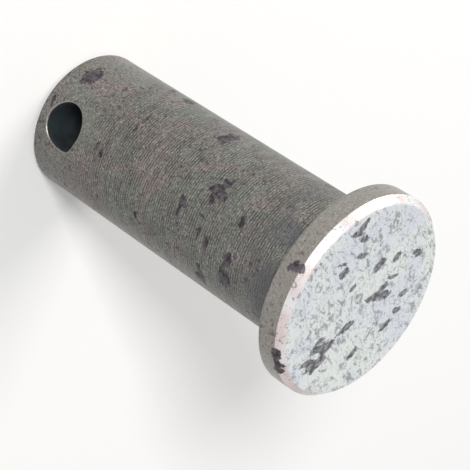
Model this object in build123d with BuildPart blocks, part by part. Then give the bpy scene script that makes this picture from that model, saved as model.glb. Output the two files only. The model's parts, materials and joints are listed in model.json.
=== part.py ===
"""Clevis pin: one turned steel piece with a flat round head and a cross hole for a split pin.

It stands on the tail end of its shank, with the head up. Millimetres. The origin is the centre of the
tail face, +Z runs along the shank to the head, and the cross hole runs along Y.
"""

import os

from build123d import *

# Shank: a plain bearing length, broken at the tail so that it enters the clevis easily.
shank_diameter = 10.0
shank_length = 24.7  # from the tail face to the underside of the head
tail_chamfer = 0.3

# Head: a thin disc whose outer face is bevelled all round.
head_diameter = 14.0
head_height = 2.0
bevel_width = 0.43  # taken off the face's radius
bevel_height = 0.5  # taken off the rim's height
rim_edge_break = 0.1  # on the rim's edge towards the shank
neck_fillet = 0.4  # left by the tool's nose where the shank meets the head

# Cross hole for the split pin, square to the shank.
hole_diameter = 3.2
hole_to_tail = 2.7  # from the hole's axis to the tail face
hole_edge_break = 0.1

shank_radius = shank_diameter / 2
head_radius = head_diameter / 2
head_face_radius = head_radius - bevel_width
head_top = shank_length + head_height
bevel_start = head_top - bevel_height

with BuildPart() as clevis_pin:
    # Half of the turned section, from the tail face up to the head's outer face.
    with BuildSketch(Plane.XZ) as section:
        with BuildLine():
            Polyline(
                (0, 0),
                (shank_radius - tail_chamfer, 0),
                (shank_radius, tail_chamfer),
                (shank_radius, shank_length),
                (head_radius - rim_edge_break, shank_length),
                (head_radius, shank_length + rim_edge_break),
                (head_radius, bevel_start),
                (head_face_radius, head_top),
                (0, head_top),
                close=True,
            )
        make_face()
    revolve(axis=Axis.Z)

    # The tool's nose leaves a small radius in the corner under the head.
    neck = (
        clevis_pin.edges()
        .filter_by(GeomType.CIRCLE)
        .filter_by(lambda edge: abs(edge.radius - shank_radius) < 1e-6)
        .sort_by(Axis.Z)[-1]
    )
    fillet(neck, radius=neck_fillet)

    # The cross hole goes right through, and both of its mouths are deburred.
    with Locations(Location((0, 0, hole_to_tail), (90, 0, 0))):
        Hole(radius=hole_diameter / 2, depth=shank_diameter)
    bore_wall = clevis_pin.faces(Select.LAST).filter_by(GeomType.CYLINDER).sort_by(SortBy.AREA)[0]
    chamfer(bore_wall.edges().filter_by(GeomType.BSPLINE), length=hole_edge_break)

clevis_pin.part.label = "clevis_pin"

os.makedirs("parts", exist_ok=True)
export_step(clevis_pin.part, "parts/clevis_pin.step")
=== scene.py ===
"""A bare steel clevis pin, standing on its tail end on a pale floor, with the head up.

The pin is one turned piece. Its mesh is built here ring by ring, from the tail face up to the head's
face: turned grooves round the shank, a drilled cross hole with broken edges, a thin bevelled head, and
shallow scabs of mill scale. The finish has five materials: turned shank, rim, bevel, ground face
and bore.
"""

import json
import math
import random

import bmesh
import bpy
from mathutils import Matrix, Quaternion, Vector, noise

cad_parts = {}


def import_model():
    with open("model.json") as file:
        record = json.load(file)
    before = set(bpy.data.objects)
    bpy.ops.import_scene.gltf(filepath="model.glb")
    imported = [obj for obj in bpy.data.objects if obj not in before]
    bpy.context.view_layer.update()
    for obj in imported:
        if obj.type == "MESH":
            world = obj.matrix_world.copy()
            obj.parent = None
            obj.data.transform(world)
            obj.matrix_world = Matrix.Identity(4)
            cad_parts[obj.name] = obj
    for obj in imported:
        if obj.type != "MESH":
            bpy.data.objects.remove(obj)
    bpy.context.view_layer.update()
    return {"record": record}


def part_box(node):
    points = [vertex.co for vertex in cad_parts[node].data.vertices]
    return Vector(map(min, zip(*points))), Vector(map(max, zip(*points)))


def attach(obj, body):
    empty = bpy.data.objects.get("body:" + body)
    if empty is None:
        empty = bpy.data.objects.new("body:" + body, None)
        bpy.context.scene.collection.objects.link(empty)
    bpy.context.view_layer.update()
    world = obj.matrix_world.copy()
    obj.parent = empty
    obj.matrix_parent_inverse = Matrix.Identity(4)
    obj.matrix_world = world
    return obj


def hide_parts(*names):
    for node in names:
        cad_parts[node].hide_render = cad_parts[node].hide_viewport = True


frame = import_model()

# --- Sizes, in millimetres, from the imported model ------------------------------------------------
M = 0.001  # one millimetre in metres
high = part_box("clevis_pin")[1]
mounts = {mount["name"]: mount for mount in frame["record"]["mounts"]}
HEAD_R = high.x / M
TOP = high.z / M
SHANK_R = mounts["shank"]["dims"]["r_mm"]
HEAD_UNDER = mounts["head_seat"]["pos_m"][2] / M
HOLE_R = mounts["split_pin_hole"]["dims"]["r_mm"]
HOLE_Z = mounts["split_pin_hole"]["pos_m"][2] / M
WALL = mounts["shank"]["dims"]["length_mm"]
WALL_MID = mounts["shank"]["pos_m"][2] / M
WALL_LOW, WALL_HIGH = WALL_MID - WALL / 2, WALL_MID + WALL / 2
NECK = HEAD_UNDER - WALL_HIGH  # the fillet under the head
BEVEL_WIDTH, BEVEL_HEIGHT = 0.43, 0.5
EDGE_BREAK = 0.1  # on the rim and round the hole's mouths

# --- Mesh density and relief, in millimetres ------------------------------------------------------
SEGMENTS = 184  # round the pin; a multiple of 8
GROOVE_PITCH = 0.2
GROOVE_DEPTH = 0.01
GROOVES_START = 0.5  # how far below the hole's axis the turning marks begin
GROOVES_FULL = 7.2  # above this height they are at full depth
RINGS_PER_GROOVE = 3
SCALE_DEPTH = 0.02  # how deep the scabs lie in the surface
WEAR_DEPTH = 0.004  # half of the deepest slight unevenness
WINDOW = 2.25  # half the side of the square patch of mesh that carries each mouth of the hole
NICK_ANGLE, NICK_SIZE = math.radians(32), 0.2  # a tool mark that points one side of each mouth
NICK_WIDTH = 0.6  # radians from the nick's point to each of its sides
CLOSING_LOOPS = 14  # loops of mesh from the window's border to the mouth
BORE_LOOPS = 16  # lengths of mesh along the hole

# Scabs of mill scale lie in loose groups, listed here. Each group: angle round the pin in degrees,
# height, how far it spreads round the pin and along it, how many scabs, and their half width.
SHANK_GROUPS = [
    (-140, 2.0, 0.6, 0.2, 3, 0.7),
    (-105, 1.0, 0.6, 0.2, 2, 0.35),
    (-90, 6.5, 0.2, 0.3, 2, 0.3),
    (-125, 8.5, 0.8, 0.8, 4, 0.25),
    (-175, 7.5, 0.4, 1.1, 3, 0.5),
    (-155, 13.5, 0.2, 0.1, 2, 0.7),
    (-115, 16.5, 0.7, 0.8, 6, 0.5),
    (-90, 14.5, 0.3, 0.5, 3, 0.35),
    (-80, 17.0, 0.4, 0.6, 3, 0.4),
    (-60, 11.0, 0.0, 0.0, 1, 0.3),
    (-105, 19.0, 0.3, 0.8, 2, 0.35),
    (-65, 19.5, 0.9, 0.3, 4, 0.6),
    (-45, 16.5, 0.6, 1.0, 3, 0.4),
    (75, 12.5, 7.5, 11.0, 22, 0.55),  # thinly over the side that the photograph doesn't show
]
RIM_GROUPS = [
    (-50, 26.2, 1.3, 0.1, 4, 0.5),
    (-100, 25.8, 0.3, 0.5, 3, 0.35),
    (75, 25.8, 9.0, 0.5, 8, 0.5),
]
# On the head's face: x, y, the spread along each, how many, and their half length.
FACE_GROUPS = [
    (2.0, -0.5, 0.0, 0.0, 1, 0.65),
    (-0.5, 1.5, 0.8, 0.5, 5, 0.6),
    (4.0, -2.0, 0.9, 0.7, 6, 0.65),
    (-4.5, -3.0, 0.7, 0.7, 4, 0.38),
    (0.0, 0.0, 4.2, 4.2, 16, 0.45),
]
FACE_STREAKS = 130  # the direction, in degrees, that the face's scabs mostly lie along
SCATTER_SEED = 5

# --- Camera and lights ----------------------------------------------------------------------------
CAMERA_AIM = (0.99, -0.27, 16.01)  # where the view's centre passes the pin's axis, in millimetres
CAMERA_AZIMUTH, CAMERA_ELEVATION, CAMERA_ROLL = -15.36, 35.20, -123.80  # degrees
CAMERA_DISTANCE = 109.68  # millimetres
CAMERA_LENS, CAMERA_SENSOR = 129.66, 36.0
FLOOR_COLOUR = (0.99, 0.985, 0.98, 1)
FLOOR_WHITE = 0.18  # the share of plain white that the floor shows
WORLD_STRENGTH = 0.33


def fall(x, start, end):
    """0 before start, 1 past end, and a smooth step between them."""
    t = min(1.0, max(0.0, (x - start) / (end - start)))
    return t * t * (3 - 2 * t)


# --- Relief: grooves and scabs --------------------------------------------------------------------
def scabs(draw, groups, per_mm, lean):
    """Scabs of uneven size in each group: (across, along, half width, half height, lean in degrees)."""
    made = []
    for across, along, spread_across, spread_along, count, size in groups:
        for _ in range(count):
            made.append((
                across + draw.uniform(-spread_across, spread_across) * per_mm,
                along + draw.uniform(-spread_along, spread_along),
                size * draw.uniform(0.7, 1.1),
                size * draw.uniform(0.3, 0.6),
                lean + draw.uniform(-30, 30),
            ))
    return made


chance = random.Random(SCATTER_SEED)
SHANK_SCALE = scabs(chance, SHANK_GROUPS, math.degrees(1 / SHANK_R), 0)
RIM_SCALE = scabs(chance, RIM_GROUPS, math.degrees(1 / HEAD_R), 0)
FACE_SCALE = scabs(chance, FACE_GROUPS, 1, FACE_STREAKS)


def patch_field(across, along, patch_across, patch_along, lean):
    """1 at a patch's centre, 0 on its edge, and falling on below 0 outside it."""
    c, s = math.cos(lean), math.sin(lean)
    u, v = c * across + s * along, c * along - s * across
    return 1.0 - math.hypot(u / patch_across, v / patch_along)


def ragged(point, size):
    """Noise of about -1 to 1 that breaks up the outline of a patch."""
    return noise.fractal(point / size, 0.6, 2.1, 4, noise_basis="PERLIN_ORIGINAL")


def scabs_round(point, radius, patches):
    """The strongest field of any patch at a point on a turned wall."""
    angle = math.degrees(math.atan2(point.y, point.x))
    best = -2.0
    for place, height, half_wide, half_high, lean in patches:
        turn = (angle - place + 180) % 360 - 180
        across = math.radians(turn) * radius
        if abs(across) < 3 and abs(point.z - height) < 3:
            best = max(best, patch_field(across, point.z - height, half_wide, half_high, math.radians(lean)))
    return best


def scabs_on_face(point):
    """The strongest field of any patch at a point on the head's face."""
    best = -2.0
    for x, y, half_long, half_wide, direction in FACE_SCALE:
        field = patch_field(point.x - x, point.y - y, half_long, half_wide, math.radians(direction))
        best = max(best, field)
    return best


def scale_field(point, zone):
    """How far inside a scab a point lies: above 0 inside, below 0 outside."""
    if zone in ("shank", "tail"):
        field = scabs_round(point, SHANK_R, SHANK_SCALE)
    elif zone == "face":
        field = scabs_on_face(point)
    elif zone in ("rim", "bevel"):
        field = scabs_round(point, HEAD_R, RIM_SCALE)
    else:
        return -1.0
    return field + 0.25 + 0.5 * ragged(point, 0.5) if field > -1.5 else -1.0


def groove_depth(height):
    """Depth of the turned groove at a height: none at the tail, full along the shank, less at the neck."""
    start = fall(height, HOLE_Z - GROOVES_START, GROOVES_FULL)
    strength = start * (1 - 0.6 * fall(height, WALL_HIGH - 1.5, WALL_HIGH))
    number = math.floor(height / GROOVE_PITCH)
    uneven = 0.75 + 0.35 * noise.noise(Vector((number * 0.37, 4.1, 0)))
    return GROOVE_DEPTH * strength * uneven


# --- The turned mesh ------------------------------------------------------------------------------
def even(start, end, step):
    """Values from start to just before end, about step apart."""
    count = max(1, round(abs(end - start) / step))
    return [start + (end - start) * i / count for i in range(count)]


def profile():
    """Rings from the tail face's middle to the head face's middle, as (radius, height, zone)."""
    chamfer_r = SHANK_R - WALL_LOW
    rings = [(r, 0.0, "tail") for r in even(0.25, chamfer_r - 0.05, 0.3)]
    rings += [(chamfer_r - 0.04, 0.0, "tail"), (chamfer_r + 0.03, 0.03, "tail")]
    rings += [(SHANK_R - 0.03, WALL_LOW - 0.03, "tail")]
    step = GROOVE_PITCH / RINGS_PER_GROOVE
    rings += [(SHANK_R, z, "shank") for z in even(WALL_LOW + 0.02, WALL_HIGH, step)]
    for i in range(7):  # the neck's fillet
        a = math.radians(15 * i)
        rings.append((SHANK_R + NECK * (1 - math.cos(a)), WALL_HIGH + NECK * math.sin(a), "shank"))
    under = HEAD_UNDER
    rings += [(r, under, "rim") for r in even(SHANK_R + NECK + 0.2, HEAD_R - EDGE_BREAK - 0.02, 0.25)]
    rings += [(HEAD_R - EDGE_BREAK - 0.02, under, "rim"), (HEAD_R - EDGE_BREAK * 0.7, under + 0.03, "rim")]
    rings += [(HEAD_R - 0.03, under + EDGE_BREAK * 0.7, "rim"), (HEAD_R, under + EDGE_BREAK, "rim")]
    bevel_z = TOP - BEVEL_HEIGHT
    face_r = HEAD_R - BEVEL_WIDTH
    rings += [(HEAD_R, z, "rim") for z in even(under + 0.25, bevel_z - 0.04, 0.13)]
    rings += [(HEAD_R, bevel_z - 0.03, "rim"), (HEAD_R - 0.025, bevel_z + 0.04, "bevel")]
    for i in range(1, 5):
        t = i / 5
        rings.append((HEAD_R - BEVEL_WIDTH * t, bevel_z + BEVEL_HEIGHT * t, "bevel"))
    rings += [(face_r + 0.02, TOP - 0.02, "bevel"), (face_r - 0.03, TOP, "face")]
    rings += [(r, TOP, "face") for r in even(face_r - 0.12, 0.12, 0.15)]
    return rings


def window_rows(rings):
    """First and last ring of the square patch that carries the hole's mouths."""
    shank = [i for i, ring in enumerate(rings) if ring[2] == "shank" and ring[1] <= WALL_HIGH]
    first = min(shank, key=lambda i: abs(rings[i][1] - (HOLE_Z - WINDOW)))
    last = min(shank, key=lambda i: abs(rings[i][1] - (HOLE_Z + WINDOW)))
    return first, last


def turned_point(radius, height, column):
    angle = math.tau * column / SEGMENTS
    return Vector((radius * math.cos(angle), radius * math.sin(angle), height))


def mouth_radius(alpha):
    """Radius of the hole's mouth: round, but for a small pointed nick on one side."""
    off = abs((alpha - NICK_ANGLE + math.pi) % math.tau - math.pi)
    return HOLE_R + NICK_SIZE * max(0.0, 1 - off / NICK_WIDTH) ** 1.3


def on_wall(x, z, side, sink=0.0):
    """The point of the shank's wall at x and z, on the side of +Y or -Y."""
    r = SHANK_R - sink
    return Vector((x, side * math.sqrt(r * r - x * x), z))


def drill(mesh, grid, rings, side, zones):
    """Fills one side's square window with loops that close in on the hole's mouth, and returns the last."""
    first, last = window_rows(rings)
    quarter = SEGMENTS // 4 * (1 if side > 0 else 3)
    half = round(math.asin(WINDOW / SHANK_R) / math.tau * SEGMENTS)
    left, right = quarter - half, quarter + half
    border = [(first, c) for c in range(left, right)] + [(r, right) for r in range(first, last)]
    border += [(last, c) for c in range(right, left, -1)] + [(r, left) for r in range(last, first, -1)]
    loop = [grid[row][column % SEGMENTS] for row, column in border]
    places = [(v.co.x, v.co.z - HOLE_Z) for v in loop]
    alphas = [math.atan2(z, -side * x) for x, z in places]
    steps = [1 - (1 - i / CLOSING_LOOPS) ** 1.25 for i in range(1, CLOSING_LOOPS + 1)]
    for t in steps:
        fresh = []
        for (x, z), alpha in zip(places, alphas):
            edge = mouth_radius(alpha) + EDGE_BREAK
            ex, ez = -side * edge * math.cos(alpha), edge * math.sin(alpha)
            px, pz = x + (ex - x) * t, z + (ez - z) * t
            fresh.append(mesh.verts.new(on_wall(px, pz + HOLE_Z, side)))
        stitch(mesh, loop, fresh, zones["shank"])
        loop = fresh
    for grow, sink in ((EDGE_BREAK * 0.35, EDGE_BREAK * 0.3), (0.0, EDGE_BREAK)):
        fresh = []
        for alpha in alphas:
            edge = mouth_radius(alpha) + grow
            x, z = -side * edge * math.cos(alpha), edge * math.sin(alpha)
            fresh.append(mesh.verts.new(on_wall(x, z + HOLE_Z, side, sink)))
        stitch(mesh, loop, fresh, zones["rim"])
        loop = fresh
    return loop


def stitch(mesh, outer, inner, material):
    """A band of quads between two closed loops."""
    count = len(outer)
    for i in range(count):
        j = (i + 1) % count
        face = mesh.faces.new((outer[i], outer[j], inner[j], inner[i]))
        face.material_index = material
        face.smooth = True


def bore(mesh, loops, zones):
    """The drilled wall between the two mouths, as loops along Y."""
    near, far = loops
    count = len(near)
    order = [(-i) % count for i in range(count)]

    def apart(k):
        """How far the first near point is from far point k, squared, seen along Y."""
        a, b = near[0].co, far[order[k]].co
        return (a.x - b.x) ** 2 + (a.z - b.z) ** 2

    # Loop points at the same place round the hole, seen along Y, are joined.
    shift = min(range(count), key=apart)
    partner = [far[order[(i + shift) % count]] for i in range(count)]
    loop = near
    for step in range(1, BORE_LOOPS):
        t = step / BORE_LOOPS
        pinch = fall(min(t, 1 - t), 0.0, 0.12)
        fresh = []
        for a, b in zip(near, partner):
            p = a.co.lerp(b.co, t)
            x, z = p.x, p.z - HOLE_Z
            radius = math.hypot(x, z)
            true = radius + (HOLE_R - radius) * pinch
            fresh.append(mesh.verts.new((x / radius * true, p.y, z / radius * true + HOLE_Z)))
        stitch(mesh, loop, fresh, zones["bore"])
        loop = fresh
    stitch(mesh, loop, partner, zones["bore"])


def build_pin(materials):
    """The whole pin as one closed mesh in the row frame."""
    zones = {"tail": 0, "shank": 0, "rim": 1, "bevel": 2, "face": 3, "bore": 4}
    rings = profile()
    first, last = window_rows(rings)
    half = round(math.asin(WINDOW / SHANK_R) / math.tau * SEGMENTS)
    mesh = bmesh.new()
    quarters = (SEGMENTS // 4, SEGMENTS // 4 * 3)

    def inside(row, column):
        return first < row < last and any(abs(column - q) < half for q in quarters)

    grid = []
    for row, (radius, height, _) in enumerate(rings):
        ring = []
        for c in range(SEGMENTS):
            ring.append(None if inside(row, c) else mesh.verts.new(turned_point(radius, height, c)))
        grid.append(ring)
    for row in range(len(rings) - 1):
        for c in range(SEGMENTS):
            if first <= row < last and any(-half <= c - q < half for q in quarters):
                continue
            d = (c + 1) % SEGMENTS
            face = mesh.faces.new((grid[row][c], grid[row][d], grid[row + 1][d], grid[row + 1][c]))
            face.material_index = zones[rings[row + 1][2]]
            face.smooth = True
    for row, middle, flip in ((0, (0, 0, 0), False), (len(rings) - 1, (0, 0, TOP), True)):
        centre = mesh.verts.new(middle)
        for c in range(SEGMENTS):
            d = (c + 1) % SEGMENTS
            a, b = (grid[row][d], grid[row][c]) if not flip else (grid[row][c], grid[row][d])
            face = mesh.faces.new((centre, a, b))
            face.material_index = zones[rings[row][2]]
            face.smooth = True
    loops = [drill(mesh, grid, rings, side, zones) for side in (-1, 1)]
    bore(mesh, loops, zones)
    bmesh.ops.recalc_face_normals(mesh, faces=mesh.faces[:])
    roughen(mesh)
    bmesh.ops.scale(mesh, vec=(M, M, M), verts=mesh.verts[:])
    data = bpy.data.meshes.new("clevis_pin_body")
    mesh.to_mesh(data)
    mesh.free()
    for material in materials:
        data.materials.append(material)
    piece = bpy.data.objects.new("clevis_pin_body", data)
    bpy.context.scene.collection.objects.link(piece)
    return piece


def zone_of(point):
    """Which surface a point of the undisturbed mesh lies on."""
    r = math.hypot(point.x, point.y)
    if point.z > TOP - 0.005:
        return "face"
    if point.z > HEAD_UNDER + 0.01:
        return "bevel" if point.z > TOP - BEVEL_HEIGHT else "rim"
    if abs(point.z - HEAD_UNDER) <= 0.01:
        return "under"
    if r > SHANK_R - 0.002:
        return "shank"
    return "tail" if point.z < WALL_LOW else "bore"


def roughen(mesh):
    """Sinks grooves, scabs and slight unevenness into the surface, and keeps the scabs' field."""
    layer = mesh.verts.layers.float.new("scale")
    for vert in mesh.verts:
        point = vert.co.copy()
        zone = zone_of(point)
        field = scale_field(point, zone)
        vert[layer] = field
        scab = fall(field, -0.05, 0.2) * SCALE_DEPTH
        worn = WEAR_DEPTH * (1 + ragged(point, 1.9))
        if zone == "shank":
            phase = (point.z / GROOVE_PITCH) % 1.0
            cut = groove_depth(point.z) * (0.5 - 0.5 * math.cos(math.tau * phase))
            r = math.hypot(point.x, point.y)
            drop = cut + (scab + worn) * fall(point.z, 0.3, 0.6)
            vert.co.x, vert.co.y = point.x * (1 - drop / r), point.y * (1 - drop / r)
        elif zone == "face":
            edge = HEAD_R - BEVEL_WIDTH - math.hypot(point.x, point.y)
            vert.co.z = point.z - (scab * 0.6 + worn * 0.5) * fall(edge, 0.05, 0.3)
        elif zone in ("rim", "bevel"):
            r = math.hypot(point.x, point.y)
            drop = scab + worn
            vert.co.x, vert.co.y = point.x * (1 - drop / r), point.y * (1 - drop / r)


# --- Materials ------------------------------------------------------------------------------------
class Finish:
    """A procedural material: short calls that add and link its nodes."""

    def __init__(self, name, metallic, roughness):
        self.material = bpy.data.materials.new(name)
        self.material.use_nodes = True
        self.tree = self.material.node_tree
        self.shader = self.tree.nodes["Principled BSDF"]
        self.shader.inputs["Metallic"].default_value = metallic
        self.shader.inputs["Roughness"].default_value = roughness
        self.place = self.tree.nodes.new("ShaderNodeTexCoord").outputs["Object"]

    def node(self, kind, settings=None, **inputs):
        made = self.tree.nodes.new(kind)
        for key, value in (settings or {}).items():
            setattr(made, key, value)
        for key, value in inputs.items():
            socket = made.inputs[int(key[1:])] if key[0] == "i" and key[1:].isdigit() else made.inputs[key]
            self.feed(socket, value)
        return made

    def feed(self, socket, value):
        if isinstance(value, bpy.types.NodeSocket):
            self.tree.links.new(value, socket)
        else:
            socket.default_value = value

    def stretched(self, per_mm):
        """Object coordinates scaled to so many features per millimetre along each axis."""
        scale = [v / M for v in per_mm]
        return self.node("ShaderNodeMapping", Vector=self.place, Scale=scale).outputs["Vector"]

    def turned(self, per_mm, degrees):
        """The same after a turn about Z."""
        turn = self.node("ShaderNodeMapping", Vector=self.place, Rotation=(0, 0, math.radians(degrees)))
        scale = [v / M for v in per_mm]
        return self.node("ShaderNodeMapping", Vector=turn.outputs["Vector"], Scale=scale).outputs["Vector"]

    def noise(self, vector, detail=3.0, rough=0.55, warp=0.0):
        made = self.node("ShaderNodeTexNoise", Vector=vector, Detail=detail, Roughness=rough, Distortion=warp)
        made.inputs["Scale"].default_value = 1.0
        return made.outputs["Fac"]

    def field(self):
        return self.node("ShaderNodeAttribute", {"attribute_name": "scale"}).outputs["Fac"]

    def span(self, value, start, end, low=0.0, high=1.0):
        """value's range from start to end, smoothly onto low to high."""
        made = self.node("ShaderNodeMapRange", {"interpolation_type": "SMOOTHSTEP"}, Value=value)
        for name, number in (("From Min", start), ("From Max", end), ("To Min", low), ("To Max", high)):
            made.inputs[name].default_value = number
        return made.outputs["Result"]

    def math(self, operation, a, b):
        return self.node("ShaderNodeMath", {"operation": operation}, i0=a, i1=b).outputs[0]

    def mix(self, amount, a, b, blend="MIX"):
        made = self.node("ShaderNodeMix", {"data_type": "RGBA", "blend_type": blend})
        for socket, value in ((made.inputs[0], amount), (made.inputs[6], a), (made.inputs[7], b)):
            self.feed(socket, (*value, 1.0) if isinstance(value, tuple) else value)
        return made.outputs[2]

    def bump(self, height, strength, depth, normal=None):
        made = self.node("ShaderNodeBump", Height=height, Strength=strength, Distance=depth * M)
        if normal is not None:
            self.tree.links.new(normal, made.inputs["Normal"])
        return made.outputs["Normal"]

    def use(self, colour=None, roughness=None, normal=None):
        for name, value in (("Base Color", colour), ("Roughness", roughness), ("Normal", normal)):
            if value is not None:
                self.tree.links.new(value, self.shader.inputs[name])
        return self.material


STEEL = (0.18, 0.171, 0.157)
STEEL_LIGHT = (0.56, 0.54, 0.5)
STEEL_DARK = (0.045, 0.042, 0.04)
STEEL_GREEN = (0.176, 0.19, 0.168)
STEEL_PINK = (0.22, 0.186, 0.178)
STEEL_BLUE = (0.085, 0.085, 0.1)
# painted shade for the bottoms of the turned grooves
GROOVE_PAINTED_SHADE = (0.035, 0.033, 0.031)
BEVEL_PINK = (0.66, 0.56, 0.55)
BEVEL_PALE = (0.74, 0.72, 0.74)
SCALE_COLOUR = (0.038, 0.031, 0.037)
SCALE_LIGHT = (0.105, 0.092, 0.103)
FACE_PALE = (0.72, 0.755, 0.73)
FACE_BLUE = (0.66, 0.69, 0.74)
FACE_GREY = (0.24, 0.245, 0.255)
FACE_SCALE_DARK = (0.1, 0.098, 0.11)
FACE_SCALE_LIGHT = (0.3, 0.3, 0.315)
RIM_WARM = (0.38, 0.35, 0.32)
# near-white specks painted as glints on the head's face
FACE_PAINTED_GLINT = (0.95, 0.96, 0.95)
SCRATCH_DARK = (0.30, 0.33, 0.33)
SCRATCH_LIGHT = (0.78, 0.8, 0.8)
# near-black painted shade inside the drilled hole, with a blue-green tint
BORE_PAINTED_SHADE = (0.007, 0.012, 0.015)
BORE_PAINTED_SHADE_PALER = (0.016, 0.026, 0.03)


def scale_mask(finish, tiny_amount):
    """Where scale covers the steel: the placed scabs with ragged edges, and a scatter of specks."""
    grain = finish.noise(finish.stretched((4.5, 4.5, 4.5)), detail=4.0, rough=0.7)
    raggedness = finish.math("MULTIPLY", finish.math("SUBTRACT", grain, 0.5), 1.7)
    ragged_field = finish.math("ADD", finish.field(), raggedness)
    scabs = finish.span(ragged_field, -0.05, 0.2)
    where = finish.noise(finish.stretched((0.45, 0.45, 0.45)), detail=2.0)
    specks = finish.noise(finish.stretched((3.1, 3.1, 3.4)), detail=5.0, rough=0.62, warp=0.4)
    reach = finish.math("ADD", specks, finish.math("MULTIPLY", finish.math("SUBTRACT", where, 0.5), 0.32))
    tiny = finish.span(reach, 0.595, 0.64, 0.0, tiny_amount)
    return finish.math("MAXIMUM", scabs, tiny)


def scaled(finish, colour, mask, dark=SCALE_COLOUR, light=SCALE_LIGHT):
    """colour, covered by scale of two shades where mask is 1."""
    tone = finish.noise(finish.stretched((3.0, 3.0, 3.0)), detail=4.0)
    scale = finish.mix(finish.span(tone, 0.4, 0.6), dark, light)
    return finish.mix(mask, colour, scale)


def rougher(finish, roughness, mask, amount):
    """roughness, raised by amount where scale covers the steel."""
    return finish.math("ADD", roughness, finish.math("MULTIPLY", mask, amount))


def mottled_steel(finish):
    """Grey-brown steel with faint green and pink clouds, and a fine light and dark grain."""
    cloud = finish.noise(finish.stretched((0.32, 0.32, 0.4)), detail=3.0)
    other = finish.noise(finish.stretched((0.5, 0.5, 0.36)), detail=2.0, warp=0.6)
    colour = finish.mix(finish.span(cloud, 0.42, 0.62), STEEL, STEEL_GREEN)
    colour = finish.mix(finish.span(other, 0.5, 0.68), colour, STEEL_PINK)
    grain = finish.noise(finish.stretched((6.0, 6.0, 15.0)), detail=3.0, rough=0.75)
    dark = finish.span(grain, 0.36, 0.54, 0.8, 0.0)
    colour = finish.mix(dark, colour, STEEL_DARK)
    light = finish.span(grain, 0.52, 0.68, 0.0, 0.5)
    return finish.mix(light, colour, STEEL_LIGHT), grain


def painted_groove_shade(finish, colour):
    """Painted shade in the bottoms of the turned grooves, strongest along the middle of the shank."""
    height = finish.node("ShaderNodeSeparateXYZ", Vector=finish.place).outputs["Z"]
    turns = finish.math("MULTIPLY", height, math.tau / (GROOVE_PITCH * M))
    shaded_bottom = finish.span(finish.math("COSINE", turns, 0.0), 0.5, -0.9)
    broken = finish.noise(finish.stretched((0.6, 0.6, 2.2)), detail=3.0)
    amount = finish.math("MULTIPLY", shaded_bottom, finish.span(broken, 0.36, 0.6, 0.1, 0.68))
    amount = finish.math("MULTIPLY", amount, finish.span(height, 3.2 * M, 7.0 * M))
    return finish.mix(amount, colour, GROOVE_PAINTED_SHADE)


def turned_finish():
    """The shank: turned steel, blued a little under the head."""
    finish = Finish("turned_shank_steel", 0.75, 0.42)
    colour, grain = mottled_steel(finish)
    # painted shade in the grooves' bottoms
    colour = painted_groove_shade(finish, colour)
    height = finish.node("ShaderNodeSeparateXYZ", Vector=finish.place).outputs["Z"]
    near_head = finish.span(height, 19.5 * M, 23.8 * M)
    blotch = finish.noise(finish.stretched((0.3, 0.3, 0.3)), detail=2.0)
    blued = finish.math("MULTIPLY", near_head, finish.span(blotch, 0.42, 0.6, 0.0, 0.75))
    colour = finish.mix(blued, colour, STEEL_BLUE)
    mask = scale_mask(finish, 0.8)
    colour = scaled(finish, colour, mask)
    roughness = rougher(finish, finish.span(grain, 0.3, 0.7, 0.34, 0.52), mask, 0.12)
    fine = finish.noise(finish.stretched((1.2, 1.2, 14.0)), detail=3.0)
    normal = finish.bump(fine, 0.35, 0.02)
    normal = finish.bump(grain, 0.3, 0.02, normal)
    return finish.use(colour, roughness, normal)


def rim_finish():
    """The head's rim and underside, and the broken edges of the hole's mouths."""
    finish = Finish("head_rim_steel", 0.8, 0.36)
    colour, grain = mottled_steel(finish)
    colour = finish.mix(0.4, colour, RIM_WARM)
    mask = scale_mask(finish, 0.6)
    colour = scaled(finish, colour, mask)
    roughness = rougher(finish, finish.span(grain, 0.3, 0.7, 0.28, 0.42), mask, 0.15)
    fine = finish.noise(finish.stretched((1.0, 1.0, 12.0)), detail=3.0)
    normal = finish.bump(fine, 0.25, 0.015)
    return finish.use(colour, roughness, normal)


def bevel_finish():
    """The head's bevel: bright turned steel, pinkish in places."""
    finish = Finish("head_bevel_steel", 0.7, 0.26)
    cloud = finish.noise(finish.stretched((0.22, 0.22, 0.22)), detail=2.0)
    colour = finish.mix(finish.span(cloud, 0.44, 0.56), BEVEL_PALE, BEVEL_PINK)
    grain = finish.noise(finish.stretched((4.0, 4.0, 7.0)), detail=4.0, rough=0.7)
    colour = finish.mix(finish.span(grain, 0.56, 0.72, 0.0, 0.7), colour, FACE_GREY)
    mask = scale_mask(finish, 0.6)
    colour = scaled(finish, colour, mask)
    roughness = rougher(finish, finish.span(grain, 0.3, 0.7, 0.2, 0.34), mask, 0.2)
    fine = finish.noise(finish.stretched((1.0, 1.0, 12.0)), detail=3.0)
    return finish.use(colour, roughness, finish.bump(fine, 0.2, 0.015))


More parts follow.
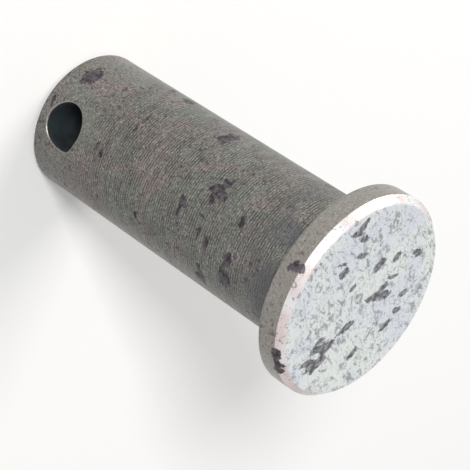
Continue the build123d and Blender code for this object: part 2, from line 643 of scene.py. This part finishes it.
def face_finish():
    """The head's face: pale ground steel with parallel scratches, mottled remains of scale and painted
    glints.
    """
    finish = Finish("head_face_steel", 0.8, 0.34)
    cloud = finish.noise(finish.stretched((0.35, 0.35, 0.35)), detail=3.0)
    colour = finish.mix(finish.span(cloud, 0.4, 0.62), FACE_PALE, FACE_BLUE)
    worn = finish.noise(finish.turned((1.2, 1.9, 1.5), -60), detail=6.0, rough=0.72, warp=0.8)
    colour = finish.mix(finish.span(worn, 0.51, 0.62, 0.0, 0.8), colour, FACE_GREY)
    chips_and_glints = finish.noise(finish.turned((3.4, 4.2, 3.0), -70), detail=5.0, rough=0.75, warp=0.6)
    colour = finish.mix(finish.span(chips_and_glints, 0.55, 0.66, 0.0, 0.7), colour, FACE_GREY)
    # sparse near-white specks: painted glints
    colour = finish.mix(finish.span(chips_and_glints, 0.28, 0.38, 0.8, 0.0), colour, FACE_PAINTED_GLINT)
    scratch = finish.noise(finish.turned((0.35, 9.0, 1.0), -42), detail=3.0, rough=0.6)
    colour = finish.mix(finish.span(scratch, 0.58, 0.72, 0.0, 0.5), colour, SCRATCH_DARK)
    colour = finish.mix(finish.span(scratch, 0.3, 0.42, 0.5, 0.0), colour, SCRATCH_LIGHT)
    mask = scale_mask(finish, 0.5)
    colour = scaled(finish, colour, mask, FACE_SCALE_DARK, FACE_SCALE_LIGHT)
    roughness = rougher(finish, finish.span(worn, 0.4, 0.7, 0.3, 0.45), mask, 0.15)
    normal = finish.bump(scratch, 0.3, 0.02)
    normal = finish.bump(worn, 0.4, 0.03, normal)
    return finish.use(colour, roughness, normal)


def bore_finish():
    """The drilled wall: near-black painted shade with a blue-green oxide tint, and rings left by the drill.
    """
    finish = Finish("drilled_bore_steel", 0.0, 0.8)
    cloud = finish.noise(finish.stretched((0.9, 0.9, 0.9)), detail=4.0)
    # the hole's wall coloured as painted shade
    colour = finish.mix(finish.span(cloud, 0.35, 0.65), BORE_PAINTED_SHADE, BORE_PAINTED_SHADE_PALER)
    rings = finish.noise(finish.stretched((0.8, 9.0, 0.8)), detail=2.0)
    return finish.use(colour, None, finish.bump(rings, 0.4, 0.03))


# --- Floor, light and camera ----------------------------------------------------------------------
def floor():
    """A plain pale floor that shows a share of plain white and keeps the pin's shadow."""
    size = 0.8
    mesh = bmesh.new()
    bmesh.ops.create_grid(mesh, x_segments=8, y_segments=8, size=size)
    data = bpy.data.meshes.new("floor")
    mesh.to_mesh(data)
    mesh.free()
    obj = bpy.data.objects.new("floor", data)
    bpy.context.scene.collection.objects.link(obj)
    material = bpy.data.materials.new("floor_white")
    material.use_nodes = True
    tree = material.node_tree
    shader = tree.nodes["Principled BSDF"]
    shader.inputs["Base Color"].default_value = FLOOR_COLOUR
    shader.inputs["Roughness"].default_value = 0.9
    shader.inputs["Specular IOR Level"].default_value = 0.1
    data.materials.append(material)
    show_white(tree, shader, FLOOR_WHITE)


def show_white(tree, shader, share):
    """Camera, glossy and transmission rays see this share of plain white in the surface."""
    path = tree.nodes.new("ShaderNodeLightPath")
    seen = path.outputs["Is Camera Ray"]
    for name in ("Is Glossy Ray", "Is Transmission Ray"):
        add = tree.nodes.new("ShaderNodeMath")
        add.operation = "ADD"
        add.use_clamp = True
        tree.links.new(seen, add.inputs[0])
        tree.links.new(path.outputs[name], add.inputs[1])
        seen = add.outputs[0]
    amount = tree.nodes.new("ShaderNodeMath")
    amount.operation = "MULTIPLY"
    amount.inputs[1].default_value = share
    tree.links.new(seen, amount.inputs[0])
    white = tree.nodes.new("ShaderNodeEmission")
    white.inputs["Strength"].default_value = 1.0
    mix = tree.nodes.new("ShaderNodeMixShader")
    tree.links.new(amount.outputs[0], mix.inputs[0])
    tree.links.new(shader.outputs[0], mix.inputs[1])
    tree.links.new(white.outputs[0], mix.inputs[2])
    output = next(n for n in tree.nodes if n.type in ("OUTPUT_MATERIAL", "OUTPUT_WORLD"))
    tree.links.new(mix.outputs[0], output.inputs["Surface"])


def world():
    """An even pale surround that shows as white behind the floor."""
    scene_world = bpy.data.worlds.new("surround")
    bpy.context.scene.world = scene_world
    scene_world.use_nodes = True
    tree = scene_world.node_tree
    background = tree.nodes["Background"]
    background.inputs["Color"].default_value = (1, 1, 1, 1)
    background.inputs["Strength"].default_value = WORLD_STRENGTH
    show_white(tree, background, 1.0)


def lamp(name, direction, distance, size, power, colour=(1, 1, 1)):
    """A square soft light that faces the pin's middle from a direction in the row frame."""
    light = bpy.data.lights.new(name, "AREA")
    light.shape = "SQUARE"
    light.size = size
    light.energy = power
    light.color = colour
    obj = bpy.data.objects.new(name, light)
    bpy.context.scene.collection.objects.link(obj)
    middle = Vector((0, 0, TOP / 2 * M))
    toward = Vector(direction).normalized()
    obj.location = middle + toward * distance
    obj.rotation_mode = "QUATERNION"
    obj.rotation_quaternion = toward.to_track_quat("Z", "Y")
    obj.visible_camera = False


def lights():
    lamp("side", (-0.92, 0.3, 0.3), distance=0.56, size=0.34, power=3.0, colour=(1.0, 0.985, 0.93))
    lamp("front", (-0.53, -0.85, 0.68), distance=1.2, size=0.26, power=10.5)


def camera():
    data = bpy.data.cameras.new("camera")
    data.lens, data.sensor_width, data.sensor_fit = CAMERA_LENS, CAMERA_SENSOR, "HORIZONTAL"
    data.clip_start, data.clip_end = 0.001, 10.0
    obj = bpy.data.objects.new("camera", data)
    bpy.context.scene.collection.objects.link(obj)
    azimuth, elevation = math.radians(CAMERA_AZIMUTH), math.radians(CAMERA_ELEVATION)
    back = Vector((
        math.sin(azimuth) * math.cos(elevation),
        -math.cos(azimuth) * math.cos(elevation),
        math.sin(elevation),
    ))
    obj.location = (Vector(CAMERA_AIM) + back * CAMERA_DISTANCE) * M
    obj.rotation_mode = "QUATERNION"
    level = back.to_track_quat("Z", "Y")
    roll = Quaternion((0, 0, 1), -math.radians(CAMERA_ROLL))
    obj.rotation_quaternion = level @ roll
    bpy.context.scene.camera = obj


pin = build_pin([turned_finish(), rim_finish(), bevel_finish(), face_finish(), bore_finish()])
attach(pin, "root")
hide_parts("clevis_pin")

floor()
world()
lights()
camera()

bpy.context.scene.view_settings.view_transform = "Standard"
